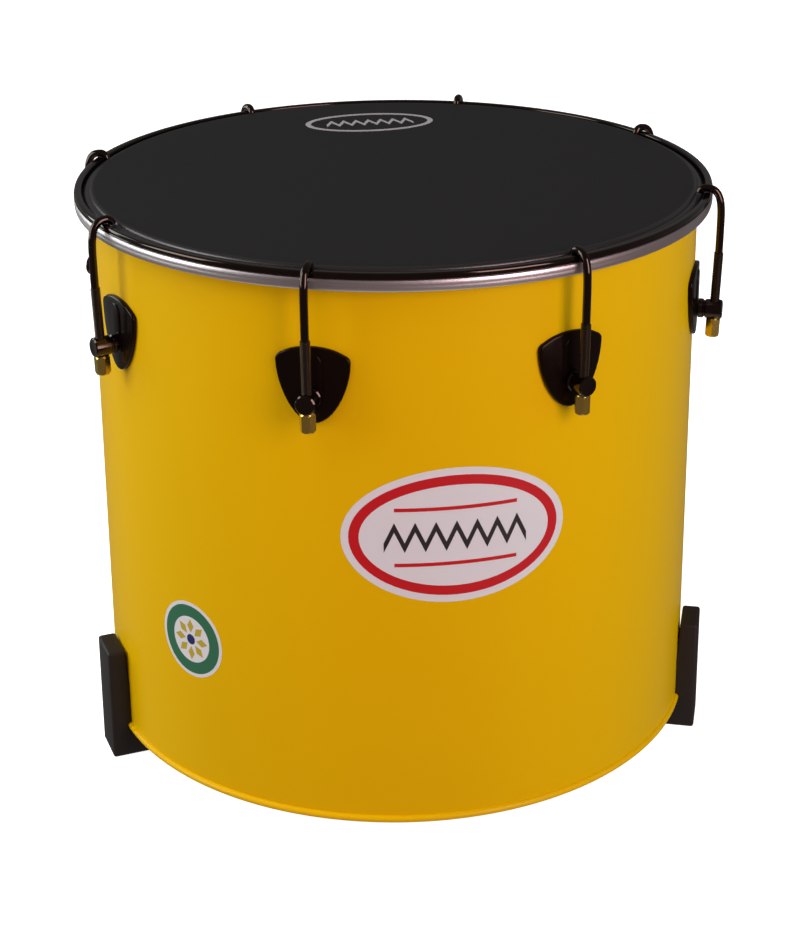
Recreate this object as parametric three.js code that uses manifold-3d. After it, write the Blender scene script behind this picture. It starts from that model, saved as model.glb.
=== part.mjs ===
// A surdo: a deep samba drum with one head, held up on three rubber feet and open below.
// Units are millimetres. Z points up from the floor, and the drum's axis is the Z axis.
// The badge side of the shell faces -Y. Lugs and feet are placed by azimuth, in degrees from +X.
import * as THREE from "three";
import { mergeVertices } from "three/addons/utils/BufferGeometryUtils.js";
import Module from "manifold-3d";

const wasm = await Module();
wasm.setup();

// Clearances.
const seatGap = 0.3; // left between two pieces that touch
const runningGap = 0.3; // around a shank or a thread in its bore
const overrun = 4; // how far a cutting tool passes through what it cuts
const mergeTolerance = 1e-3;

// Shell: painted sheet steel with a rolled bead at both ends.
const shellDiameter = 508;
const shellHeight = 462;
const sheetThickness = 1.2;
const beadRadius = 3;

// Head: a black skin over the top bead, with its hem locked in the flesh hoop.
const skinThickness = 1.2;
const hemWidth = 5.2;
const hemHeight = 3.8;

// Flesh hoop: an aluminium channel that opens upwards.
const fleshHoopHeight = 9.3;
const fleshHoopDrop = 2.2; // its rim lies this far below the shell's top
const fleshHoopWall = 3.2;
const channelWall = 1.4;
const grooveDepth = 0.5;
const grooveHeight = 1.1;

// Counter hoop: the black steel hoop that the hooks pull down.
const counterHoopHeight = 4.6;
const counterHoopGroove = 1.1; // open width between it and the head's skirt
const counterHoopRound = 1.9;
const lipHeight = 1.1;
const lipStep = 0.5;

// Lugs: a curved plate, and a post through which the rod passes.
const lugCount = 8;
const firstLugAzimuth = 22.5;
const postDrop = 97; // from the shell's top to the post's centre
const plateWidth = 57.5;
const plateHeight = 61;
const plateRise = 38.5; // from the post's centre to the plate's top
const plateThickness = 3.4;
const tongueWidth = 15;
const tongueInset = 5;
const tongueHeight = 1;
const postDiameter = 16;
const postReach = 24.6; // from the shell's wall to the post's free end
const postNeckDiameter = 13.6;
const postNeckLength = 2.2;
const postBaseLength = 4;
const postChamfer = 1;
const spotFaceDepth = 1; // flat cut for the nut on the post's underside
const postShankDiameter = 8;

// Tension hooks: a rod with a crook at the top and a rolled thread below.
const rodDiameter = 6.35;
const threadDiameter = 7.9;
const threadRise = 49; // how far the thread reaches above the post's centre
const rodReach = 17.9; // from the shell's wall to the rod's axis, at the post's centre
const shoulderReach = 21; // the same, where the rod starts to bend inwards
const shoulderDrop = 15; // that place lies this far below the shell's top
const crookGap = 0.45; // between the crook's underside and the counter hoop's top
const crestSetback = 0.8; // the crook gets level this far inside the hoop's mid width
const crestRun = 3.4; // level stretch over the hoop
const tipBendRadius = 3.6;
const tipBendAngle = 80;
const tipDrop = 1.2; // straight end after the tip bend

// Tension nuts.
const nutAcrossFlats = 11.1;
const nutHeight = 16;
const nutChamfer = 1.1;
const rodEndInset = 3; // the rod ends this far above the nut's lower face

// Screws that hold the lugs and the feet from inside the shell.
const lugScrewDiameter = 5;
const lugScrewGrip = 6.5; // length inside the post
const lugScrewBoreSpare = 2;
const footScrewDiameter = 4.4;
const footScrewGrip = 8;
const footScrewBoreSpare = 2;
const washerDiameter = 15;
const washerThickness = 1.2;
const screwHeadDiameter = 9;
const screwHeadHeight = 3;
const screwHeadChamfer = 0.8;

// Feet: rubber blocks with a toe under the lower bead.
const footAzimuths = { left: 192.1, right: 339.9, rear: 86 };
const toeHeight = 26; // holds the lower bead this high above the floor
const toeLength = 26; // how far the toe reaches inside the shell's wall
const footReach = 16.5;
const footWidth = 38;
const footRise = 75; // above the lower bead's underside
const footRelief = 1.2; // the block's top stands off the shell by this
const footReliefDrop = 28;
const footEdge = 2.4;
const lowerFootScrewRise = 18;
const upperFootScrewRise = 40;

// Facets.
const ringSides = 64;
const beadSteps = 4;
const cornerSteps = 3;
const rodSides = 8;
const threadSides = 10;
const postSides = 16;
const nutRoundSides = 12;
const screwSides = 8;
const plateCurveSteps = 4;
const bendSteps = 7;
const tipSteps = 4;

// Radii and heights that follow from the sizes above.
const shellRadius = shellDiameter / 2;
const shellInside = shellRadius - sheetThickness;
const shellBottom = toeHeight;
const shellTop = shellBottom + shellHeight;
const skirtInside = shellRadius + beadRadius + seatGap;
const skirtOutside = skirtInside + skinThickness;
const hemOutside = skirtInside + hemWidth;
const fleshHoopInside = hemOutside + seatGap;
const hoopOutside = fleshHoopInside + fleshHoopWall;
const fleshHoopTop = shellTop - fleshHoopDrop;
const fleshHoopBottom = fleshHoopTop - fleshHoopHeight;
const counterHoopInside = skirtOutside + counterHoopGroove;
const counterHoopBottom = fleshHoopTop + seatGap;
const counterHoopTop = counterHoopBottom + counterHoopHeight;
const postHeight = shellTop - postDrop;
const plateInside = shellRadius + seatGap;
const plateOutside = plateInside + plateThickness;
const tongueOutside = plateOutside + tongueHeight;
const postBase = tongueOutside + seatGap;
const postEnd = shellRadius + postReach;
const nutSeat = postDiameter / 2 - spotFaceDepth;
const nutTop = -nutSeat - seatGap;
const nutBottom = nutTop - nutHeight;
const nutCorners = nutAcrossFlats / Math.cos(Math.PI / 6);
const rodLean = Math.atan2(
  shoulderReach - rodReach,
  postDrop - shoulderDrop,
);

// Solids and meshes.
function solidOf(geometry) {
  const bare = geometry.index ? geometry.toNonIndexed() : geometry.clone();
  bare.deleteAttribute("normal");
  bare.deleteAttribute("uv");
  const merged = mergeVertices(bare, mergeTolerance);
  const corners = merged.index.array;
  const kept = [];
  for (let i = 0; i < corners.length; i += 3) {
    const [a, b, c] = corners.subarray(i, i + 3);
    if (a !== b && b !== c && c !== a) kept.push(a, b, c);
  }
  return new wasm.Manifold(
    new wasm.Mesh({
      numProp: 3,
      vertProperties: merged.attributes.position.array,
      triVerts: new Uint32Array(kept),
    }),
  );
}

function geometryOf(solid) {
  const { vertProperties, triVerts } = solid.getMesh();
  const geometry = new THREE.BufferGeometry();
  geometry.setAttribute("position", new THREE.BufferAttribute(vertProperties, 3));
  geometry.setIndex(new THREE.BufferAttribute(triVerts, 1));
  geometry.computeVertexNormals();
  return geometry;
}

function meshOf(name, solid, material) {
  const mesh = new THREE.Mesh(geometryOf(solid), material);
  mesh.name = name;
  return mesh;
}

const radians = THREE.MathUtils.degToRad;
const point = (radius, height) => new THREE.Vector2(radius, height);

// Points on an arc of a profile, from one angle to another in half turns.
function arc(centre, radius, from, to, steps) {
  const points = [];
  for (let i = 0; i <= steps; i++) {
    const angle = Math.PI * (from + ((to - from) * i) / steps);
    points.push(
      point(
        centre.x + radius * Math.cos(angle),
        centre.y + radius * Math.sin(angle),
      ),
    );
  }
  return points;
}

// A profile of radius and height, anticlockwise, turned once about Z. Its facets' corners fall on
// the azimuth of every lug, and the azimuth given is where the solid's own X axis will point.
function turnedAboutZ(profile, azimuth = 0) {
  const closed = profile[0].x === 0 ? profile : [...profile, profile[0]];
  const geometry = new THREE.LatheGeometry(closed, ringSides);
  geometry.rotateX(Math.PI / 2);
  geometry.rotateZ(radians(firstLugAzimuth - azimuth));
  return solidOf(geometry);
}

// A profile of radius and distance along X, turned once about X.
function turnedAboutX(profile, sides) {
  const geometry = new THREE.LatheGeometry(profile, sides);
  geometry.rotateZ(-Math.PI / 2);
  return solidOf(geometry);
}

// A plain cylinder along X between two distances.
function rodAlongX(diameter, from, to, sides) {
  const geometry = new THREE.CylinderGeometry(
    diameter / 2,
    diameter / 2,
    to - from,
    sides,
  );
  geometry.rotateZ(-Math.PI / 2);
  geometry.translate((from + to) / 2, 0, 0);
  return solidOf(geometry);
}

// The diameter of a hole for a shank that has the same facets and never turns in it.
const holeFor = (diameter) => diameter + 2 * runningGap;

// The diameter of a bore whose flats stay clear of what turns in it.
const boreFor = (diameter, sides) => holeFor(diameter) / Math.cos(Math.PI / sides);

// A plain cylinder on the rod's leaning axis, between two distances above the post's centre.
function rodAlongLean(diameter, from, to, sides) {
  const geometry = new THREE.CylinderGeometry(
    diameter / 2,
    diameter / 2,
    to - from,
    sides,
  );
  geometry.rotateX(Math.PI / 2);
  geometry.translate(0, 0, (from + to) / 2);
  return onLean(solidOf(geometry));
}

// Stands a solid, built about Z with the post's centre as its origin, on the rod's leaning axis.
function onLean(solid) {
  const place = new THREE.Matrix4()
    .makeTranslation(shellRadius + rodReach, 0, postHeight)
    .multiply(new THREE.Matrix4().makeRotationY(rodLean));
  return solid.transform(place.elements);
}

// Shell.
function bead(height, from, to) {
  return arc(point(shellRadius, height), beadRadius, from, to, beadSteps);
}

function shell() {
  const wall = Math.acos(sheetThickness / beadRadius) / Math.PI;
  const lower = bead(shellBottom + beadRadius, 1 - wall, 2 + 1 / 2);
  const upper = bead(shellTop - beadRadius, -1 / 2, 1 + wall);
  let body = turnedAboutZ([...lower, ...upper]);
  for (let i = 0; i < lugCount; i++) {
    const hole = rodAlongX(
      holeFor(postShankDiameter),
      shellInside - overrun,
      shellRadius + overrun,
      postSides,
    ).translate([0, 0, postHeight]);
    body = body.subtract(hole.rotate([0, 0, lugAzimuth(i)]));
  }
  for (const azimuth of Object.values(footAzimuths)) {
    for (const rise of [lowerFootScrewRise, upperFootScrewRise]) {
      const hole = rodAlongX(
        holeFor(footScrewDiameter),
        shellInside - overrun,
        shellRadius + overrun,
        screwSides,
      ).translate([0, 0, shellBottom + rise]);
      body = body.subtract(hole.rotate([0, 0, azimuth]));
    }
  }
  return body;
}

// Head.
function head() {
  const shoulder = point(shellRadius, shellTop - beadRadius);
  const innerRound = beadRadius + seatGap;
  const outerRound = innerRound + skinThickness;
  const hemBottom = fleshHoopBottom + channelWall + seatGap;
  const hemTop = hemBottom + hemHeight;
  return turnedAboutZ([
    point(0, shoulder.y + innerRound),
    ...arc(shoulder, innerRound, 1 / 2, 0, cornerSteps),
    point(skirtInside, hemBottom),
    point(hemOutside, hemBottom),
    point(hemOutside, hemTop),
    point(skirtOutside, hemTop),
    ...arc(shoulder, outerRound, 0, 1 / 2, cornerSteps),
    point(0, shoulder.y + outerRound),
  ]);
}

// Flesh hoop.
function fleshHoop() {
  const wallOutside = skirtInside - seatGap;
  const innerWallTop = shellTop - 2 * beadRadius - seatGap;
  const floor = fleshHoopBottom + channelWall;
  const valley = hoopOutside - grooveDepth;
  const groove = (fleshHoopBottom + fleshHoopTop) / 2;
  return turnedAboutZ([
    point(wallOutside - channelWall, fleshHoopBottom),
    point(hoopOutside, fleshHoopBottom),
    point(hoopOutside, groove - grooveHeight / 2),
    point(valley, groove),
    point(hoopOutside, groove + grooveHeight / 2),
    point(hoopOutside, fleshHoopTop),
    point(fleshHoopInside, fleshHoopTop),
    point(fleshHoopInside, floor),
    point(wallOutside, floor),
    point(wallOutside, innerWallTop),
    point(wallOutside - channelWall, innerWallTop),
  ]);
}

// Counter hoop: rounded above, with a thin lip that bears on the flesh hoop's rim.
function counterHoop() {
  const bodyOutside = hoopOutside - lipStep;
  const roundHeight = counterHoopTop - counterHoopRound;
  return turnedAboutZ([
    point(counterHoopInside, counterHoopBottom),
    point(hoopOutside, counterHoopBottom),
    point(hoopOutside, counterHoopBottom + lipHeight),
    point(bodyOutside, counterHoopBottom + lipHeight + lipStep),
    ...arc(
      point(bodyOutside - counterHoopRound, roundHeight),
      counterHoopRound,
      0,
      1 / 2,
      cornerSteps,
    ),
    ...arc(
      point(counterHoopInside + counterHoopRound, roundHeight),
      counterHoopRound,
      1 / 2,
      1,
      cornerSteps - 1,
    ),
  ]);
}

// Lug plate: a shield with a bowed top edge, curved to the shell, with a raised tongue that runs
// down to the post.
function lugAzimuth(i) {
  return firstLugAzimuth + (360 / lugCount) * i;
}

// Turns an outline in Y and Z into a bar along X that passes through the plate's thickness.
function barAlongX(shape) {
  const geometry = new THREE.ExtrudeGeometry(shape, {
    depth: plateThickness + tongueHeight + 2 * overrun,
    bevelEnabled: false,
    curveSegments: plateCurveSteps,
  });
  geometry.applyMatrix4(
    new THREE.Matrix4().makeBasis(
      new THREE.Vector3(0, 1, 0),
      new THREE.Vector3(0, 0, 1),
      new THREE.Vector3(1, 0, 0),
    ),
  );
  geometry.translate(plateInside - overrun, 0, postHeight);
  return solidOf(geometry);
}

// A stretch of the drum's round wall between two radii, high enough to cover a lug plate.
function wallBand(inside, outside) {
  const low = postHeight - plateHeight;
  const high = postHeight + plateHeight;
  return turnedAboutZ(
    [
      point(inside, low),
      point(outside, low),
      point(outside, high),
      point(inside, high),
    ],
    firstLugAzimuth,
  );
}

function shieldOutline() {
  // Shares of the half width, and of the height below the top of the bow.
  const outlineShares = {
    shoulder: [0.83, 0.1],
    corner: [1.01, 0.13],
    side: [1, 0.21],
    sideHandle: [0.98, 0.56],
    tipHandle: [0.52, 1],
    tip: [0, 1],
    bowHandle: [0.4, -0.03],
  };
  const place = ([widthShare, dropShare], side) => [
    (side * widthShare * plateWidth) / 2,
    plateRise - dropShare * plateHeight,
  ];
  const { shoulder, corner, side, sideHandle, tipHandle, tip, bowHandle } = outlineShares;
  const shape = new THREE.Shape();
  shape.moveTo(...place(side, -1));
  shape.bezierCurveTo(...place(sideHandle, -1), ...place(tipHandle, -1), ...place(tip, 1));
  shape.bezierCurveTo(...place(tipHandle, 1), ...place(sideHandle, 1), ...place(side, 1));
  shape.quadraticCurveTo(...place(corner, 1), ...place(shoulder, 1));
  shape.bezierCurveTo(
    ...place(bowHandle, 1),
    ...place(bowHandle, -1),
    ...place(shoulder, -1),
  );
  shape.quadraticCurveTo(...place(corner, -1), ...place(side, -1));
  return shape;
}

function tongueOutline() {
  const half = tongueWidth / 2;
  const shape = new THREE.Shape();
  shape.absarc(0, 0, half, Math.PI, 2 * Math.PI, false);
  shape.lineTo(half, plateRise - tongueInset - half);
  shape.absarc(0, plateRise - tongueInset - half, half, 0, Math.PI, false);
  return shape;
}

function lugPlate() {
  const shield = barAlongX(shieldOutline()).intersect(
    wallBand(plateInside, plateOutside),
  );
  const tongue = barAlongX(tongueOutline()).intersect(
    wallBand(plateInside + plateThickness / 2, tongueOutside),
  );
  const hole = rodAlongX(
    holeFor(postShankDiameter),
    plateInside - overrun,
    tongueOutside + overrun,
    postSides,
  ).translate([0, 0, postHeight]);
  return shield.add(tongue).subtract(hole);
}

// Post: a shank through plate and shell, a base, a groove, and the barrel that the rod crosses.
function lugPost() {
  const radius = postDiameter / 2;
  const shank = postShankDiameter / 2;
  const neck = postNeckDiameter / 2;
  const neckStart = postBase + postBaseLength;
  const barrelStart = neckStart + postNeckLength;
  const turned = turnedAboutX(
    [
      point(0, shellInside + seatGap),
      point(shank, shellInside + seatGap),
      point(shank, postBase),
      point(radius, postBase),
      point(radius, neckStart),
      point(neck, (neckStart + barrelStart) / 2),
      point(radius, barrelStart),
      point(radius, postEnd - postChamfer),
      point(radius - postChamfer, postEnd),
      point(0, postEnd),
    ],
    postSides,
  ).translate([0, 0, postHeight]);
  const rodHole = rodAlongLean(
    boreFor(threadDiameter, threadSides),
    -postDiameter,
    postDiameter,
    threadSides,
  );
  const spotFace = rodAlongLean(
    boreFor(nutCorners, nutRoundSides),
    -postDiameter,
    -nutSeat,
    nutRoundSides,
  );
  const screwHole = rodAlongX(
    holeFor(lugScrewDiameter),
    shellInside - overrun,
    shellInside + lugScrewGrip + lugScrewBoreSpare,
    screwSides,
  ).translate([0, 0, postHeight]);
  return turned.subtract(rodHole).subtract(spotFace).subtract(screwHole);
}

// A path whose stretches each take their own number of steps, so that a tight bend gets more.
class SteppedPath extends THREE.Curve {
  constructor(stretches) {
    super();
    this.stretches = stretches;
    this.steps = stretches.reduce((sum, stretch) => sum + stretch.steps, 0);
  }

  getPoint(t, target = new THREE.Vector3()) {
    let step = t * this.steps;
    let i = 0;
    while (i < this.stretches.length - 1 && step > this.stretches[i].steps) {
      step -= this.stretches[i].steps;
      i += 1;
    }
    const { curve, steps } = this.stretches[i];
    return curve.getPoint(Math.min(step / steps, 1), target);
  }

  getPointAt(u, target) {
    return this.getPoint(u, target);
  }

  getTangentAt(u, target) {
    return this.getTangent(u, target);
  }
}

// The crook: up the leaning rod, in over the hoop, and down towards the head inside it.
function crookPath() {
  const handleShares = { rise: 0.68, run: 0.74 };
  const tip = radians(tipBendAngle);
  const lean = new THREE.Vector3(Math.sin(rodLean), 0, Math.cos(rodLean));
  const rodFoot = new THREE.Vector3(shellRadius + rodReach, 0, postHeight);
  const threadTop = rodFoot.clone().addScaledVector(lean, threadRise - overrun);
  const shoulder = new THREE.Vector3(
    shellRadius + shoulderReach,
    0,
    shellTop - shoulderDrop,
  );
  const crest = new THREE.Vector3(
    (counterHoopInside + hoopOutside) / 2 - crestSetback,
    0,
    counterHoopTop + crookGap + rodDiameter / 2,
  );
  const rise = (crest.z - shoulder.z) * handleShares.rise;
  const run = (shoulder.x - crest.x) * handleShares.run;
  const handle = (4 / 3) * Math.tan(tip / 4) * tipBendRadius;
  const inwards = new THREE.Vector3(-1, 0, 0);
  const tipStart = crest.clone().addScaledVector(inwards, crestRun);
  const tipEnd = new THREE.Vector3(
    tipStart.x - tipBendRadius * Math.sin(tip),
    0,
    tipStart.z - tipBendRadius * (1 - Math.cos(tip)),
  );
  const down = new THREE.Vector3(-Math.cos(tip), 0, -Math.sin(tip));
  return new SteppedPath([
    { curve: new THREE.LineCurve3(threadTop, shoulder), steps: 1 },
    {
      curve: new THREE.CubicBezierCurve3(
        shoulder,
        shoulder.clone().addScaledVector(lean, rise),
        crest.clone().addScaledVector(inwards, -run),
        crest,
      ),
      steps: bendSteps,
    },
    { curve: new THREE.LineCurve3(crest, tipStart), steps: 1 },
    {
      curve: new THREE.CubicBezierCurve3(
        tipStart,
        tipStart.clone().addScaledVector(inwards, handle),
        tipEnd.clone().addScaledVector(down, -handle),
        tipEnd,
      ),
      steps: tipSteps,
    },
    {
      curve: new THREE.LineCurve3(tipEnd, tipEnd.clone().addScaledVector(down, tipDrop)),
      steps: 1,
    },
  ]);
}

function tensionHook() {
  const section = new THREE.Shape().absarc(0, 0, rodDiameter / 2, 0, 2 * Math.PI, false);
  const path = crookPath();
  const crook = new THREE.ExtrudeGeometry(section, {
    steps: path.steps,
    extrudePath: path,
    curveSegments: rodSides / 2,
  });
  const thread = rodAlongLean(
    threadDiameter,
    nutBottom + rodEndInset,
    threadRise,
    threadSides,
  );
  return solidOf(crook).add(thread);
}

// Nut: a tall hexagon, chamfered at both ends, bored through.
function tensionNut() {
  const corner = nutCorners / 2;
  const hexagon = new THREE.CylinderGeometry(corner, corner, nutHeight, 6);
  hexagon.rotateX(Math.PI / 2);
  hexagon.translate(0, 0, (nutTop + nutBottom) / 2);
  const chamfered = new THREE.LatheGeometry(
    [
      point(0, nutBottom),
      point(corner - nutChamfer, nutBottom),
      point(corner + nutChamfer, nutBottom + nutChamfer),
      point(corner + nutChamfer, nutTop - nutChamfer),
      point(corner - nutChamfer, nutTop),
      point(0, nutTop),
    ],
    nutRoundSides,
  );
  chamfered.rotateX(Math.PI / 2);
  const bore = rodAlongLean(
    boreFor(threadDiameter, threadSides),
    nutBottom - overrun,
    nutTop + overrun,
    threadSides,
  );
  return onLean(solidOf(hexagon).intersect(solidOf(chamfered))).subtract(bore);
}

// A screw from inside the shell: its shank points outwards, under a washer and a domed head.
function innerScrew(diameter, grip, height) {
  const washer = washerDiameter / 2;
  const headRadius = screwHeadDiameter / 2;
  const seat = shellInside - washer * Math.tan(Math.PI / ringSides) - seatGap;
  const headSeat = seat - washerThickness;
  const headEnd = headSeat - screwHeadHeight;
  return turnedAboutX(
    [
      point(0, headEnd),
      point(headRadius - screwHeadChamfer, headEnd),
      point(headRadius, headEnd + screwHeadChamfer),
      point(headRadius, headSeat),
      point(washer, headSeat),
      point(washer, seat),
      point(diameter / 2, seat),
      point(diameter / 2, shellInside + grip),
      point(0, shellInside + grip),
    ],
    screwSides,
  ).translate([0, 0, height]);
}

// Foot: a block against the wall, with a recess for the bead and a toe under it.
function foot(azimuth) {
  const outside = shellRadius + footReach;
  const top = shellBottom + footRise;
  const toeEnd = shellRadius - toeLength;
  const toeTop = shellBottom - seatGap;
  const back = shellInside - overrun;
  const shape = new THREE.Shape([
    point(toeEnd, 0),
    point(outside, 0),
    point(outside, top),
    point(shellRadius + footRelief, top),
    point(shellRadius, top - footReliefDrop),
    point(back, top - footReliefDrop),
    point(toeEnd, toeTop + overrun),
  ]);
  const block = new THREE.ExtrudeGeometry(shape, {
    depth: footWidth - 2 * footEdge,
    bevelEnabled: true,
    bevelThickness: footEdge,
    bevelSize: footEdge,
    bevelOffset: -footEdge,
    bevelSegments: 2,
  });
  block.rotateX(Math.PI / 2);
  block.translate(0, footWidth / 2 - footEdge, 0);
  const clearance = turnedAboutZ(
    [
      point(toeEnd - overrun, toeTop),
      point(skirtInside, toeTop),
      point(skirtInside, shellBottom + 2 * beadRadius + seatGap),
      point(plateInside, shellBottom + 2 * beadRadius + seatGap),
      point(plateInside, top + overrun),
      point(toeEnd - overrun, top + overrun),
    ],
    azimuth,
  );
  let body = solidOf(block).subtract(clearance);
  for (const rise of [lowerFootScrewRise, upperFootScrewRise]) {
    const bore = rodAlongX(
      holeFor(footScrewDiameter),
      shellInside,
      shellInside + footScrewGrip + footScrewBoreSpare,
      screwSides,
    ).translate([0, 0, shellBottom + rise]);
    body = body.subtract(bore);
  }
  return body;
}

// Finishes.
const finish = (color, roughness, metalness) =>
  new THREE.MeshStandardMaterial({ color, roughness, metalness });
const yellowPaint = finish(0xd9a400, 0.35, 0);
const blackSkin = finish(0x242424, 0.75, 0);
const brushedAluminium = finish(0xcfc8c8, 0.35, 1);
const blackEnamel = finish(0x14110f, 0.2, 0.4);
const brass = finish(0xb99a4e, 0.3, 1);
const zincPlate = finish(0xb9bcc0, 0.4, 1);
const blackRubber = finish(0x241c18, 0.8, 0);

// Assembly.
const drum = new THREE.Group();
drum.add(meshOf("shell", shell(), yellowPaint));
drum.add(meshOf("head_skin", head(), blackSkin));
drum.add(meshOf("flesh_hoop", fleshHoop(), brushedAluminium));
drum.add(meshOf("counter_hoop", counterHoop(), blackEnamel));

const plateSolid = lugPlate();
const postSolid = lugPost();
const hookSolid = tensionHook();
const nutSolid = tensionNut();
const lugScrewSolid = innerScrew(lugScrewDiameter, lugScrewGrip, postHeight);
for (let i = 0; i < lugCount; i++) {
  const lug = new THREE.Group();
  lug.rotation.z = radians(lugAzimuth(i));
  lug.add(meshOf(`lug_plate_${i + 1}`, plateSolid, blackEnamel));
  lug.add(meshOf(`lug_post_${i + 1}`, postSolid, blackEnamel));
  lug.add(meshOf(`tension_hook_${i + 1}`, hookSolid, blackEnamel));
  lug.add(meshOf(`tension_nut_${i + 1}`, nutSolid, brass));
  lug.add(meshOf(`lug_screw_${i + 1}`, lugScrewSolid, zincPlate));
  drum.add(lug);
}

for (const [name, azimuth] of Object.entries(footAzimuths)) {
  const corner = new THREE.Group();
  corner.rotation.z = radians(azimuth);
  corner.add(meshOf(`foot_${name}`, foot(azimuth), blackRubber));
  for (const [place, rise] of [
    ["lower", lowerFootScrewRise],
    ["upper", upperFootScrewRise],
  ]) {
    const screw = innerScrew(footScrewDiameter, footScrewGrip, shellBottom + rise);
    corner.add(meshOf(`foot_${name}_screw_${place}`, screw, zincPlate));
  }
  drum.add(corner);
}

export default drum;
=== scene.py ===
"""A surdo, a deep samba drum: its visible pieces, finishes, studio and camera.

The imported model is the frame. Each piece here is a finer body for a node of that frame, in the same
place and of the same size, or a sticker, which the frame leaves out. Sizes are in millimetres and
are turned to metres where a mesh is made. Z points up and the drum's axis is the Z axis.
"""

from __future__ import annotations

import logging
import math
from collections.abc import Sequence
from dataclasses import dataclass, field
from enum import Enum
from functools import cache

import bmesh
import bpy
from mathutils import Matrix, Vector

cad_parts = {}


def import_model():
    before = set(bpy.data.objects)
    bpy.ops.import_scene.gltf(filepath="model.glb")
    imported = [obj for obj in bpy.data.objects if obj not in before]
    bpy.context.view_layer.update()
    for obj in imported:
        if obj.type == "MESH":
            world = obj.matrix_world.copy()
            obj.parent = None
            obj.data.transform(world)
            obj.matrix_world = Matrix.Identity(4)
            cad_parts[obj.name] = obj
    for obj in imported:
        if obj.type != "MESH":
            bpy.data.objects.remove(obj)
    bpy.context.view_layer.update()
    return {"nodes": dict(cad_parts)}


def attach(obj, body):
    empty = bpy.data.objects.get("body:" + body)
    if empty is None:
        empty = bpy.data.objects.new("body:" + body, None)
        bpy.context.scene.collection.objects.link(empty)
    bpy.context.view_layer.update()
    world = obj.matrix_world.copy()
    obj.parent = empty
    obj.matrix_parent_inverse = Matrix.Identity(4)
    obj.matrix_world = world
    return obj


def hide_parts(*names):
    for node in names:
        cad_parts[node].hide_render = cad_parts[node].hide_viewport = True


log = logging.getLogger("surdo")

MM = 0.001
TURN = 2 * math.pi
MERGE = 1e-7
HELIX_MERGE = 2e-6
SMOOTH_ANGLE = math.radians(32)
PATCH_DETAIL = 3.0
RIM_STEPS = 3
ROUND = 0.5
Point = tuple[float, float]
Profile = list[Point]
Color = tuple[float, float, float, float]
Mesh = bmesh.types.BMesh
Tree = bpy.types.NodeTree
Socket = bpy.types.NodeSocket


class Body(Enum):
    """The moving bodies of the frame that a piece can ride on."""

    DRUM = "drum"
    HOOK = "hook_{}"
    NUT = "nut_{}"

    def name_for(self, number: int = 0) -> str:
        """The frame's name for this body at one lug."""
        return self.value.format(number)


class Slot(Enum):
    """The record's material slots."""

    SHELL = "shell_paint"
    SKIN = "head_skin"
    ALUMINIUM = "hoop_aluminium"
    ENAMEL = "black_enamel"
    LACQUER = "plate_lacquer"
    BRASS = "nut_brass"
    ZINC = "zinc_plate"
    RUBBER = "foot_rubber"


# Measures that several pieces share.


@dataclass(frozen=True)
class Drum:
    """The sizes that several pieces depend on."""

    wall: float = 254.0
    sheet: float = 1.2
    bead: float = 3.0
    bottom: float = 26.0
    height: float = 462.0
    seat: float = 0.3
    skin: float = 1.2
    skin_top: float = 491.2
    hem_width: float = 5.2
    flesh_drop: float = 2.2
    flesh_height: float = 9.3
    channel: float = 1.4
    counter_height: float = 4.6
    lugs: int = 8
    first_lug: float = 22.5
    post_drop: float = 97.0
    rod_reach: float = 17.9
    shoulder_reach: float = 21.0
    shoulder_drop: float = 15.0
    plate: float = 3.4
    tongue: float = 1.0
    bore: float = 8.5

    @property
    def top(self) -> float:
        """Height of the shell's upper end above the floor."""
        return self.bottom + self.height

    @property
    def skirt(self) -> float:
        """Radius of the skin's inner side below the bead."""
        return self.wall + self.bead + self.seat

    @property
    def flesh_bottom(self) -> float:
        """Height of the flesh hoop's lower side above the floor."""
        return self.top - self.flesh_drop - self.flesh_height

    @property
    def counter_top(self) -> float:
        """Height of the counter hoop's upper side above the floor."""
        return self.top - self.flesh_drop + self.seat + self.counter_height

    @property
    def post_height(self) -> float:
        """Height of the lug posts' centres above the floor."""
        return self.top - self.post_drop

    @property
    def lean(self) -> float:
        """Angle of the rods from upright, in radians."""
        rise = self.post_drop - self.shoulder_drop
        return math.atan2(self.shoulder_reach - self.rod_reach, rise)

    def lug_azimuth(self, number: int) -> float:
        """Azimuth of a lug, counted from one, in radians."""
        return math.radians(self.first_lug + 360 / self.lugs * (number - 1))

    def on_lean(self) -> Matrix:
        """Moves a shape about Z, with the post's centre as origin, to the rod's leaning axis."""
        foot = Vector((self.wall + self.rod_reach, 0, self.post_height)) * MM
        return Matrix.Translation(foot) @ Matrix.Rotation(self.lean, 4, "Y")


DRUM = Drum()


# Colour and shader nodes.


def linear(code: str) -> Color:
    """Turn an sRGB hex value, as #rrggbb, to linear light with an alpha of one."""
    values = [int(code[i : i + 2], 16) / 255 for i in (1, 3, 5)]
    return (*(v / 12.92 if v <= 0.04045 else ((v + 0.055) / 1.055) ** 2.4 for v in values), 1.0)


def add_node(
    tree: Tree, kind: str, sockets: dict | None = None, **settings: object
) -> bpy.types.Node:
    """Add a shader node with its settings, values and links.

    Args:
        tree: The node tree that gets the node.
        kind: Blender's name for the node's type.
        sockets: Input name or index to a value, or to an output that is linked to it.
        settings: Attributes of the node itself.

    Returns:
        The new node.
    """
    node = tree.nodes.new(kind)
    for name, value in settings.items():
        setattr(node, name, value)
    for name, value in (sockets or {}).items():
        if isinstance(value, Socket):
            tree.links.new(value, node.inputs[name])
        else:
            node.inputs[name].default_value = value
    return node


def mixed(tree: Tree, share: Socket, first: Socket | Color, second: Socket | Color) -> Socket:
    """The output with a mix of two colours, by the second one's share."""
    sockets = {0: share, 6: first, 7: second}
    return add_node(tree, "ShaderNodeMix", sockets, data_type="RGBA").outputs[2]


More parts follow.
